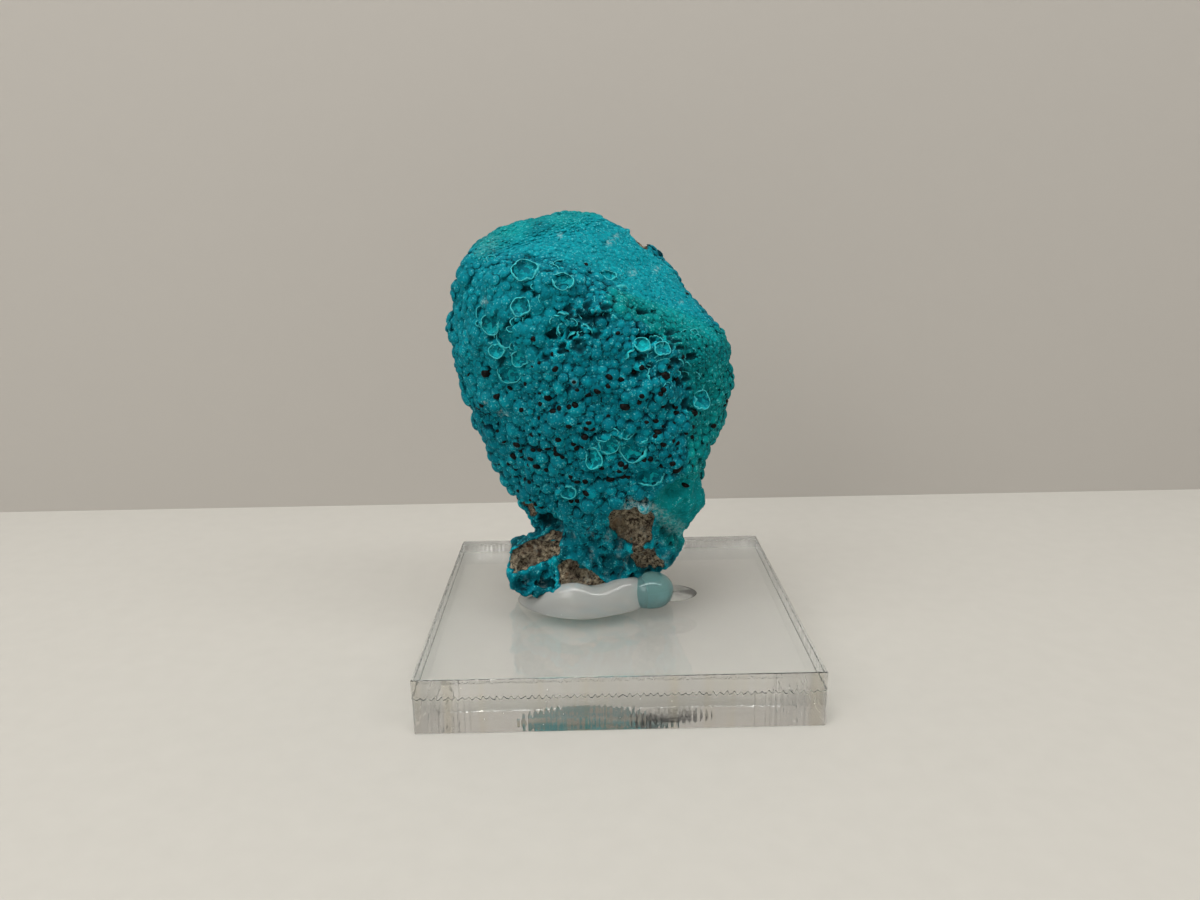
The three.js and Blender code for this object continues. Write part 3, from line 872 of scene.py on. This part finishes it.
def bubble_wall(u, v, half_width, half_height, arc=None, stand=0.3, seed=0):
    """Points, faces and the rim share of each point of one broken bubble."""
    middle, looks = land(u, v) if arc else land_on_body(u, v)
    to_eye = CAMERA_PLACE - middle
    look = looks + 0.6 * to_eye / np.linalg.norm(to_eye) + np.array((0, 0, 0.3))
    look /= np.linalg.norm(look)
    side = CAMERA_RIGHT - look * (CAMERA_RIGHT @ look)
    side /= np.linalg.norm(side)
    down = np.cross(look, side)
    middle = middle + look * stand * MM
    radius = (half_width + half_height) / 2
    points, rims = [], []
    rows = [(1, row / (ROWS - 1)) for row in range(ROWS)] + [(0, 1 - row / (ROWS - 1)) for row in range(ROWS)]
    for outer, rise_share in rows:
        for step in range(RING_STEPS):
            turn = 2 * math.pi * step / RING_STEPS
            c, s = math.cos(turn), math.sin(turn)
            ragged_here = noise.noise(Vector((c * 1.7, s * 1.7, seed * 3.3)))
            torn = noise.noise(Vector((c * 5, s * 5, seed * 1.9)))
            wide = 1 + 0.22 * noise.noise(Vector((c * 1.1, s * 1.1, seed * 5.1 + 2)))
            top = math.radians(68 + 34 * ragged_here + 20 * torn)
            if arc:
                away = abs((math.degrees(turn) - arc[0] + 180) % 360 - 180) / (arc[1] / 2)
                top += math.radians(95) * min(1.0, away) ** 4
            angle = math.radians(150) + (top - math.radians(150)) * rise_share
            size = 1.06 if outer else 1.06 - WALL / (PIXEL * radius)
            if not outer:
                crumb = noise.noise(Vector((c * 4, s * 4, angle * 4 + seed)))
                size *= 1 + 0.55 * crumb * (1 - rise_share)
            flat = math.sin(angle) * size * wide
            offset = side * c * flat * half_width + down * s * flat * half_height
            depth = (0.8 if arc else 0.4) * math.cos(angle) * size * radius
            points.append(middle + PIXEL * (offset + look * (depth - 0.35 * radius)))
            rims.append(rise_share)
    faces = ring_faces(len(rows), RING_STEPS)
    points.append(np.mean(points[:RING_STEPS], axis=0))
    points.append(np.mean(points[-RING_STEPS - 1:-1], axis=0))
    rims += [0, 0]
    last = (len(rows) - 1) * RING_STEPS
    for step in range(RING_STEPS):
        following = (step + 1) % RING_STEPS
        faces.append((following, step, len(points) - 2))
        faces.append((last + step, last + following, len(points) - 1))
    return points, faces, rims


# pixel, half width, half height, middle of the arc in degrees and its length
ARCS = [(622, 439, 6, 6, 250, 170), (641, 438, 7, 6, 300, 170), (641, 457, 7, 6, 40, 170),
        (616, 453, 6, 6, 120, 170), (602, 436, 7, 6, 230, 170), (626, 452, 6, 7, 90, 180),
        (570, 491, 12, 12, 80, 150), (655, 474, 9, 6, 330, 170), (580, 292, 15, 9, 200, 150),
        (654, 337, 14, 9, 150, 160), (648, 352, 9, 8, 60, 170), (612, 279, 20, 12, 290, 130),
        (664, 366, 8, 7, 100, 150), (576, 342, 8, 9, 90, 170), (566, 330, 8, 9, 170, 150),
        (640, 372, 8, 7, 60, 160), (690, 378, 10, 8, 70, 170), (712, 400, 12, 11, 110, 160),
        (596, 338, 10, 8, 80, 140), (548, 300, 9, 9, 200, 150)]
# Bubbles near these pixels get a stronger painted glow inside.
BRIGHT = [(633, 449), (609, 444), (650, 476), (594, 458), (641, 346), (580, 292)]

for u, v, reach_u, reach_v, count in JAGGED:
    for _ in range(count):
        spot = (u + reach_u * tear_rng.uniform(-1, 1), v + reach_v * tear_rng.uniform(-1, 1))
        size = tear_rng.uniform(4, 9)
        tall = size * tear_rng.uniform(0.6, 1.1)
        ARCS.append((*spot, size, tall, tear_rng.uniform(20, 200), tear_rng.uniform(90, 190)))

BRIGHT_REACH = 16
SLOPE_END = 300  # cups below this row of the picture lie between tall balls and stand higher
ARC_STAND, SLOPE_STAND, TALL_STAND = 0.2, 0.25, 0.62
walls = [(row, None) for row in CUPS] + [(row[:4], row[4:]) for row in ARCS]
all_points, all_faces, all_rims, all_bright = [], [], [], []
for number, (row, arc) in enumerate(walls):
    stand = ARC_STAND if arc else SLOPE_STAND if row[1] < SLOPE_END else TALL_STAND
    points, faces, rims = bubble_wall(*row, arc=arc, stand=stand, seed=number)
    all_faces += [tuple(len(all_points) + i for i in face) for face in faces]
    all_points += points
    all_rims += rims
    bright_here = min(math.dist(row[:2], spot) for spot in BRIGHT) < BRIGHT_REACH
    all_bright += [float(bright_here)] * len(points)
bubbles = make_piece("broken_bubbles", all_points, all_faces)
keep("rim", all_rims, bubbles.data)
keep("bright", all_bright, bubbles.data)
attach(bubbles, "root")
print("broken bubbles:", len(walls), "with", len(bubbles.data.polygons), "faces")

# %% Their material
bubble_mat = new_material("torn crust")
t = bubble_mat.node_tree
rim = attribute(t, "rim")
place = in_mm(t)
shard_cells = node(t, "TexVoronoi", {"Vector": place, "Scale": 2.2})
shard_draw = node(t, "SeparateColor", {"Color": shard_cells.outputs["Color"]}).outputs[0]
shards_painted_glow = mixed(t, ramp(t, shard_draw, 0.15, 0.9), colour(0, 104, 118), colour(22, 206, 214))
# The rim is made paler through the crust's crest share, a painted highlight.
torn_crest = plus(t, 0.5, times(t, rim, 0.3))
torn_look = place_group(t, crust_group, {"Place": place, "Crest": torn_crest, "Green": 0.25, "Slope": 0.0,
                                         "Hollow Shade": 0.0, "Tint": 0.5, "Edge": 0.0})
# A painted glow inside the broken bubbles, for light that shines through the thin crust. It is stronger where
# they are marked bright.
painted_glow = plus(t, 0.5, times(t, attribute(t, "bright"), 0.35))
torn = mixed(t, painted_glow, torn_look["Color"], shards_painted_glow)
# The rim is painted pale, partly its own colour and partly a painted highlight on the thin edge.
torn = mixed(t, times(t, ramp(t, rim, 0.78, 1.0), 0.6), torn, colour(90, 214, 218))
dress(bubble_mat, {"Base Color": torn, "Roughness": torn_look["Roughness"],
                   "Normal": bump(t, torn_look["Height"], 0.7, 0.05 * MM), "Specular IOR Level": 0.08})
bubbles.data.materials.append(bubble_mat)

# %% [markdown]
# ## Dark beads in the creases
#
# Black, slightly shiny grains sit in the creases under the balls. Each is an egg with a
# dented surface, sunk more than half into the crust. The ones in the picture are placed
# by pixel, and others are scattered in creases round the sides that it doesn't show.

# %% Place the beads
# pixel and size, where 1 is a bead of the radius below
BEADS = [(586, 264, 1), (687, 294, 1), (533, 339, 1.1), (552, 354, 0.9), (567, 350, 0.9), (486, 373, 1.7),
         (469, 375, 0.8), (497, 397, 1.3), (481, 405, 1.2), (478, 408, 1), (510, 388, 0.9), (525, 384, 1),
         (521, 367, 1), (532, 366, 0.9), (539, 363, 0.9), (556, 369, 1.1), (540, 393, 1), (549, 398, 1.3),
         (540, 404, 1), (521, 410, 1), (539, 418, 0.9), (577, 390, 1), (574, 382, 0.8), (589, 395, 1.3),
         (597, 392, 1.1), (553, 411, 1.3), (559, 408, 1.2), (569, 407, 1.1), (575, 405, 1.2),
         (618, 333, 0.8), (683, 357, 0.9), (642, 368, 1.1), (634, 372, 1.3), (669, 367, 1), (621, 380, 1),
         (609, 377, 1.1), (608, 386, 1), (665, 376, 1.7), (676, 379, 1), (663, 390, 1.2), (661, 394, 1),
         (642, 396, 1.1), (639, 402, 1.1), (655, 401, 0.9), (664, 406, 1.2), (675, 407, 1.1),
         (676, 413, 1.1), (625, 407, 1.5), (608, 416, 0.9), (695, 413, 1.6), (647, 422, 0.9),
         (656, 421, 1), (663, 426, 0.8), (674, 423, 0.9), (693, 427, 1), (714, 426, 1), (725, 405, 0.8),
         (498, 431, 1), (532, 435, 1.1), (516, 445, 1.2), (521, 451, 1.1), (515, 457, 1.5), (522, 457, 1),
         (504, 442, 0.8), (533, 450, 1), (539, 450, 1), (548, 449, 1.1), (558, 440, 1), (556, 449, 1.3),
         (557, 454, 1.1), (562, 457, 0.9), (530, 459, 1.1), (529, 465, 1), (537, 467, 1.3), (546, 470, 1),
         (499, 464, 0.7), (509, 464, 0.9), (516, 469, 0.9), (516, 476, 0.8), (525, 479, 1.1),
         (529, 482, 1), (518, 491, 0.9), (531, 500, 1), (536, 504, 1.1), (541, 507, 0.9), (569, 427, 1.3),
         (589, 423, 1), (573, 444, 0.9), (577, 448, 1.3), (582, 447, 1), (585, 437, 1.4), (586, 429, 1.1),
         (592, 430, 1.1), (592, 465, 1), (600, 466, 1.3), (602, 469, 1.1), (571, 477, 1), (577, 482, 0.9),
         (585, 482, 1.2), (610, 479, 1.4), (585, 493, 1.4), (571, 501, 1.1), (577, 501, 1),
         (621, 464, 1.3), (626, 467, 1.2), (644, 453, 1), (643, 459, 1.3), (650, 459, 1.1),
         (620, 471, 1.1), (623, 476, 1.3), (628, 477, 1), (661, 465, 1.2), (672, 464, 1.1),
         (678, 470, 1.6), (669, 456, 0.9), (664, 445, 1), (673, 441, 1), (678, 443, 0.9), (686, 433, 1),
         (692, 437, 0.9), (692, 466, 0.8), (685, 485, 1.4), (658, 432, 1.4), (655, 436, 1)]
BEAD_RADIUS = 0.3 * MM
HIDDEN_BEADS = 45
LOWEST_BEAD, HIGHEST_BEAD = 14 * MM, 44 * MM


def egg(middle, looks, size, rng):
    """Points and faces of one dented egg."""
    shape = bmesh.new()
    bmesh.ops.create_icosphere(shape, subdivisions=2, radius=1)
    wide, deep, tall = 1 + 0.45 * rng.random(), 0.9 + 0.15 * rng.random(), 0.75 + 0.3 * rng.random()
    stretch = Matrix.Diagonal((wide, deep, tall, 1))
    upright = Vector(looks).to_track_quat("Z", "Y").to_matrix().to_4x4()
    spin = Matrix.Rotation(rng.uniform(-0.6, 0.6), 4, Vector(looks)) @ upright
    points = []
    for vert in shape.verts:
        dent = 1 + 0.14 * noise.noise(vert.co * 1.8 + Vector((size * 9, 0, middle[2] / MM)))
        points.append(np.array(middle) + np.array(spin @ stretch @ (vert.co * dent)) * BEAD_RADIUS * size)
    faces = [[v.index for v in face.verts] for face in shape.faces]
    shape.free()
    return points, faces


bead_places = []
for u, v, size in BEADS:
    middle, looks = land(u, v)
    if middle is not None:
        bead_places.append((middle - looks * BEAD_RADIUS * size * 0.35, looks, size))
midway_up = (body[:, 2] > LOWEST_BEAD) & (body[:, 2] < HIGHEST_BEAD)
in_crease = np.flatnonzero((front < 0.02) & (bare < 0.1) & (crest < 0.3) & midway_up)
for index in rng.permutation(in_crease)[:HIDDEN_BEADS]:
    bead_places.append((stone_points[index], stone_facing[index], rng.uniform(0.8, 1.4)))
all_points, all_faces = [], []
for middle, looks, size in bead_places:
    points, faces = egg(middle, looks, size, rng)
    all_faces += [tuple(len(all_points) + i for i in face) for face in faces]
    all_points += points
beads = make_piece("dark_beads", all_points, all_faces)
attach(beads, "root")
print("dark beads:", len(bead_places))

bead_mat = new_material("black oxide")
t = bead_mat.node_tree
mottle = texture(t, in_mm(t), 2.5, 4.0)
blackish = mixed(t, ramp(t, mottle, 0.45, 0.7), colour(4, 5, 6), colour(17, 13, 13))
polish = node(t, "MapRange", {"Value": mottle, "To Min": 0.35, "To Max": 0.6}).outputs["Result"]
dress(bead_mat, {"Base Color": blackish, "Roughness": polish, "Normal": bump(t, mottle, 0.5, 0.04 * MM),
                 "Specular IOR Level": 0.12})
beads.data.materials.append(bead_mat)

# %% [markdown]
# ## The acrylic base
#
# The base was sawn from a cast sheet a quarter of an inch thick. Its top and underside
# have the sheet's own polish. Its four sides keep the saw's fine upright ridges and a
# zigzag line where two cuts met, which holds dust. The ridges have to be real, because
# they are what tears the images inside the base into streaks, so we build each side from
# narrow columns.

# %% Build the base
low, high = (np.array(corner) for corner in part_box("display_base"))
SAW_STEP = 0.15 * MM
SAW_DEPTH = 0.016 * MM
SAW_LINE = 4.15 * MM
LINE_HALF = 0.06 * MM
LINE_ROW = 5  # the row of faces that is the saw line
EDGE_FLAT = 0.08 * MM

rng = np.random.default_rng(21)
half = (high[0] - low[0]) / 2
columns = int(round(2 * half / SAW_STEP))
thick = high[2] - low[2]
levels_up = [0, EDGE_FLAT, 1.2 * MM, 2.4 * MM, 3.4 * MM, SAW_LINE - LINE_HALF, SAW_LINE + LINE_HALF,
             5.0 * MM, thick - EDGE_FLAT, thick]
corner_gap = EDGE_FLAT * 1.2

base_points, column_list = [], []
for side in range(4):
    ahead = np.array(((1, 0), (0, 1), (-1, 0), (0, -1))[side], float)
    out = np.array((ahead[1], -ahead[0]))
    under, over = rng.normal(0, 1, columns + 1), rng.normal(0, 1, columns + 1)
    under = np.convolve(under, (0.25, 0.5, 0.25), "same") + 0.8 * np.sin(np.arange(columns + 1) * 1.55)
    over = np.convolve(over, (0.25, 0.5, 0.25), "same") * 0.7
    strong = np.convolve(rng.uniform(0, 1, columns + 1), np.hanning(41) / 20, "same") ** 2
    zigzag = np.where(np.arange(columns + 1) % 5 < 2, 1, -1) * rng.uniform(0.2, 1, columns + 1)
    wave = 0.8 * MM * strong * zigzag
    for column in range(columns + 1):
        along = -half + corner_gap + (2 * half - 2 * corner_gap) * column / columns
        column_list.append((ahead, out, along, under[column], over[column], wave[column]))
for row, level in enumerate(levels_up):
    for ahead, out, along, under, over, wave in column_list:
        tuck = EDGE_FLAT if row in (0, len(levels_up) - 1) else 0
        cut = under if row <= LINE_ROW else over - 3.0
        z = level + (wave if row in (LINE_ROW, LINE_ROW + 1) else 0)
        reach = half - tuck - SAW_DEPTH * (1.5 + cut) * (0 if tuck else 1)
        flat = ahead * np.clip(along, -half + corner_gap + tuck, half - corner_gap - tuck) + out * reach
        base_points.append((flat[0], flat[1], low[2] + z))
around = len(column_list)
base_faces = ring_faces(len(levels_up), around)
side_faces = len(base_faces)
base_faces.append(tuple(range(around))[::-1])
base_faces.append(tuple((len(levels_up) - 1) * around + step for step in range(around)))
base = make_piece("acrylic_base", base_points, base_faces, smooth=False)
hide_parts("display_base")
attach(base, "root")
print("base:", len(base.data.polygons), "faces; box in mm", np.round((high - low) / MM, 2))

# %% [markdown]
# ## Clear acrylic and clear glue
#
# Both are see-through solids that bend light by the same amount, so one shader group for
# handling marks serves them all. Real shadows through clear plastic take very many
# samples. We let lamps shine through. A faint absorption gives the thick plastic its
# grey-green edge. A mask can lay a second tint over a part of a piece, such as the
# yellowish streaks that the saw left.

# %% Handling marks, as a group
wear_group, start, end = new_group("handling marks", {"Place": "Vector", "Amount": "Float"},
                                   {"Roughness": "Float", "Height": "Float"})
g = wear_group
stretched = scaled(g, start["Place"], (0.25, 3.0, 1.0))
scratch_noise = texture(g, stretched, 1.4, 2.0, Distortion=0.8)
off_middle = maths(g, "ABSOLUTE", minus(g, scratch_noise, 0.5))
scratches = minus(g, 1.0, ramp(g, off_middle, 0.0, 0.012))
dust = node(g, "TexVoronoi", {"Vector": start["Place"], "Scale": 0.9}).outputs["Distance"]
dust = minus(g, 1.0, ramp(g, dust, 0.03, 0.05))
marks = times(g, maths(g, "MAXIMUM", times(g, scratches, 0.35), dust), start["Amount"])
g.links.new(times(g, marks, 0.5), end["Roughness"])
g.links.new(marks, end["Height"])


# %% Clear materials
def clear_material(name, tint, roughness, marks, bump_mm, absorbs, density, shadow, clarity=1.0, also=None):
    """A see-through solid that lamps shine through. It may have a second tint, with a mask for it."""
    material = new_material(name)
    t = material.node_tree
    wear = place_group(t, wear_group, {"Place": in_mm(t), "Amount": marks})
    dull = plus(t, wear["Roughness"], roughness)
    bumps = bump(t, wear["Height"], 0.4, bump_mm * MM)
    if also:
        tint = mixed(t, also[1](t), tint, also[0])
    clear = node(t, "BsdfPrincipled", {"Base Color": tint, "Roughness": dull, "Normal": bumps,
                                       "Transmission Weight": clarity, "IOR": 1.49})
    for_lamps = node(t, "BsdfTransparent", {"Color": shadow})
    lamp_ray = node(t, "LightPath").outputs["Is Shadow Ray"]
    surface = node(t, "MixShader", {0: lamp_ray, 1: clear.outputs[0], 2: for_lamps.outputs[0]}).outputs[0]
    inner = node(t, "VolumeAbsorption", {"Color": absorbs, "Density": density}).outputs[0]
    node(t, "OutputMaterial", {"Surface": surface, "Volume": inner})
    return material


def saw_streaks(tree):
    """Where the saw left upright yellowish streaks."""
    drawn_out = scaled(tree, in_mm(tree), (1.0, 1.0, 0.06))
    return ramp(tree, texture(tree, drawn_out, 0.45, 4.0), 0.5, 0.66)


WHITE = (1, 1, 1, 1)
SHEET = {"absorbs": (0.88, 0.94, 0.93, 1), "density": 1.5, "shadow": (0.47, 0.48, 0.48, 1)}
polished = clear_material("polished acrylic", WHITE, 0.0, 0.5, 0.004, **SHEET)
sawn = clear_material("sawn acrylic", WHITE, 0.03, 1.0, 0.01, clarity=0.96,
                      also=((0.95, 0.9, 0.78, 1), saw_streaks), **SHEET)
dusty = new_material("dust in the saw line")
t = dusty.node_tree
specks = texture(t, in_mm(t), 1.5, 3.0)
dust_paint = mixed(t, ramp(t, specks, 0.4, 0.6), colour(84, 90, 92), colour(172, 174, 170))
dress(dusty, {"Base Color": dust_paint, "Roughness": 0.8})
for look in (polished, sawn, dusty):
    base.data.materials.append(look)
for number, face in enumerate(base.data.polygons):
    in_line = number // around == LINE_ROW
    face.material_index = (2 if in_line else 1) if number < side_faces else 0

# %% [markdown]
# ## The glue
#
# A bead of clear glue was squeezed out along the foot, with a round drop at its right end
# and a faint smear beyond that. Each is a puddle with a rounded, slightly overhanging edge.
# We build one from rings that climb from the base and close over the middle. Where glue
# meets the acrylic it reaches a hair into it, so that no air shows between them.

# %% Build the puddles of glue
TOP = high[2]
GLUE_STEPS = 120
INTO_BASE = 0.03 * MM


def puddle(name, middle, outline, roundness, overhang):
    """A rounded puddle. Outline rows are x, y and height in mm."""
    middle = np.array(middle, float)
    rows = np.array(outline, float)
    bearing = np.unwrap(np.arctan2(rows[:, 1] - middle[1], rows[:, 0] - middle[0]))
    reach = np.hypot(rows[:, 0] - middle[0], rows[:, 1] - middle[1])
    order = np.argsort(bearing)
    knots = np.concatenate([bearing[order] + turn for turn in (-2 * math.pi, 0, 2 * math.pi)])
    table_rows = np.tile(np.stack((reach, rows[:, 2]), axis=1)[order], (3, 1))
    turns = np.linspace(-math.pi, math.pi, GLUE_STEPS, endpoint=False)
    fine_turns = np.linspace(-3 * math.pi, 3 * math.pi, 3 * GLUE_STEPS, endpoint=False)
    smooth = []
    for column in (0, 1):
        values = np.interp(fine_turns, knots, table_rows[:, column])
        kernel = np.hanning(17)
        smooth.append(np.convolve(values, kernel / kernel.sum(), "same")[GLUE_STEPS:2 * GLUE_STEPS])
    lift = math.sin(math.radians(overhang))
    angles = np.radians(np.linspace(-overhang, 90, 18))
    points, painted_highlight = [], []

    def at(out, turn, up):
        """A point in metres, from its reach, bearing and height in mm."""
        return ((middle[0] + out * math.cos(turn)) * MM, (middle[1] + out * math.sin(turn)) * MM,
                TOP - INTO_BASE + up * MM)

    for row, angle in enumerate(angles):
        climb = row / (len(angles) - 1)
        for step, turn in enumerate(turns):
            edge, tall = smooth[0][step], smooth[1][step]
            if overhang:
                inward = min(roundness, 0.97 * edge) * (1 - math.cos(angle))
                up = tall * (math.sin(angle) + lift) / (1 + lift)
            else:
                inward, up = 0.97 * edge * climb, tall * climb * climb * (3 - 2 * climb)
            points.append(at(edge - inward, turn, up))
            # Painted highlights: bright lines along the bead's lower rim and along its crest.
            degrees = math.degrees(angle)
            painted_highlight.append(math.exp(-((degrees + 8) / 14) ** 2) + 0.9 * math.exp(-((degrees - 56) / 9) ** 2))
    for share in (0.66, 0.33):
        for step, turn in enumerate(turns):
            edge, tall = smooth[0][step] - min(roundness, 0.97 * smooth[0][step]), smooth[1][step]
            even_tall = tall * share + smooth[1].mean() * (1 - share)
            points.append(at(edge * share, turn, even_tall))
    count = len(points) // GLUE_STEPS
    points.append(at(0.0, 0.0, smooth[1].mean()))
    faces = ring_faces(count, GLUE_STEPS)
    last = (count - 1) * GLUE_STEPS
    faces += [(last + step, last + (step + 1) % GLUE_STEPS, len(points) - 1) for step in range(GLUE_STEPS)]
    faces.append(tuple(range(GLUE_STEPS))[::-1])
    painted_highlight += [0.0] * (len(points) - len(painted_highlight))
    piece = make_piece(name, points, faces)
    keep("painted_highlight", painted_highlight, piece.data)
    return piece


BEAD_LINE = [(-12.6, -1.4, 0.5), (-11.2, -3.6, 1.6), (-8.9, -5.8, 3.3), (-6.4, -7.1, 4.1),
             (-4.3, -7.5, 4.2), (-1.8, -7.0, 3.3), (0.6, -6.0, 3.5), (2.6, -5.0, 4.1), (4.4, -3.8, 4.1),
             (4.2, -0.6, 2.4), (2.4, 2.8, 2.2), (-1.5, 4.6, 2.0), (-6.0, 4.8, 1.9), (-10.0, 2.8, 1.2)]
DROP_LINE = [(1.7, -2.7, 4.2), (2.4, -4.6, 4.2), (4.6, -5.3, 4.3), (6.7, -4.5, 4.3), (7.5, -2.7, 4.2),
             (6.8, -1.0, 4.1), (4.7, -0.3, 4.1), (2.5, -0.9, 4.1)]
PATCH_LINE = [(3.0, 0.4, 1.2), (5.0, -1.8, 0.9), (7.0, -2.4, 0.35), (9.4, -1.8, 0.12), (11.0, 0.3, 0.1),
              (9.8, 2.3, 0.12), (7.2, 3.2, 0.4), (4.6, 2.8, 1.2)]
glue_pieces = [puddle("glue_bead", (-4.4, -1.2), BEAD_LINE, 1.7, 26),
               puddle("glue_round_drop", (4.6, -2.7), DROP_LINE, 9.0, 46),
               puddle("glue_smear", (5.6, 0.5), PATCH_LINE, 9.0, 0)]
GLUE = {"absorbs": (0.9, 0.95, 0.94, 1), "density": 20.0, "shadow": (0.3, 0.42, 0.42, 1)}
# Where the painted highlight lines run, the glue is painted whiter.
glue_mat = clear_material("milky clear glue", (0.97, 0.98, 0.95, 1), 0.015, 0.6, 0.01, clarity=0.6,
                          also=((1, 1, 0.98, 1), lambda tree: attribute(tree, "painted_highlight")), **GLUE)
# The drop's teal is the stone seen through it, painted into its colour and its absorption.
drop_mat = clear_material("glue drop with the stone's teal painted in", (0.3, 0.55, 0.56, 1), 0.03, 0.4, 0.01,
                          (0.5, 0.8, 0.82, 1), 120.0, (0.35, 0.52, 0.52, 1), clarity=0.75)
smear_mat = clear_material("thin clear glue", WHITE, 0.02, 0.6, 0.01, (0.9, 0.95, 0.94, 1), 10.0,
                           (0.75, 0.76, 0.76, 1), clarity=0.95)


def painted_foot_view(tree):
    """Where the foot's matrix, and where its crust, is painted on the glue's underside, as seen through the
    glue from below.
    """
    return ramp(tree, texture(tree, in_mm(tree), 0.35, 4.0), 0.46, 0.58)


# The glue's underside is painted with the teal crust and brown matrix seen through it from below.
under_mat = clear_material("glue underside with the foot painted on", (0.03, 0.5, 0.56, 1), 0.1, 0.6, 0.01, clarity=0.2,
                           also=((0.72, 0.64, 0.52, 1), painted_foot_view), **GLUE)
glue_nodes = ("glue_pad", "glue_drop", "glue_patch")
for piece, node_name, look in zip(glue_pieces, glue_nodes, (glue_mat, drop_mat, smear_mat)):
    piece.data.materials.append(look)
    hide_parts(node_name)
    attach(piece, "root")
    print(piece.name, np.round(np.array([v.co[:] for v in piece.data.vertices]).max(0) / MM, 2))
glue_pieces[0].data.materials.append(under_mat)
glue_pieces[0].data.polygons[-1].material_index = 1
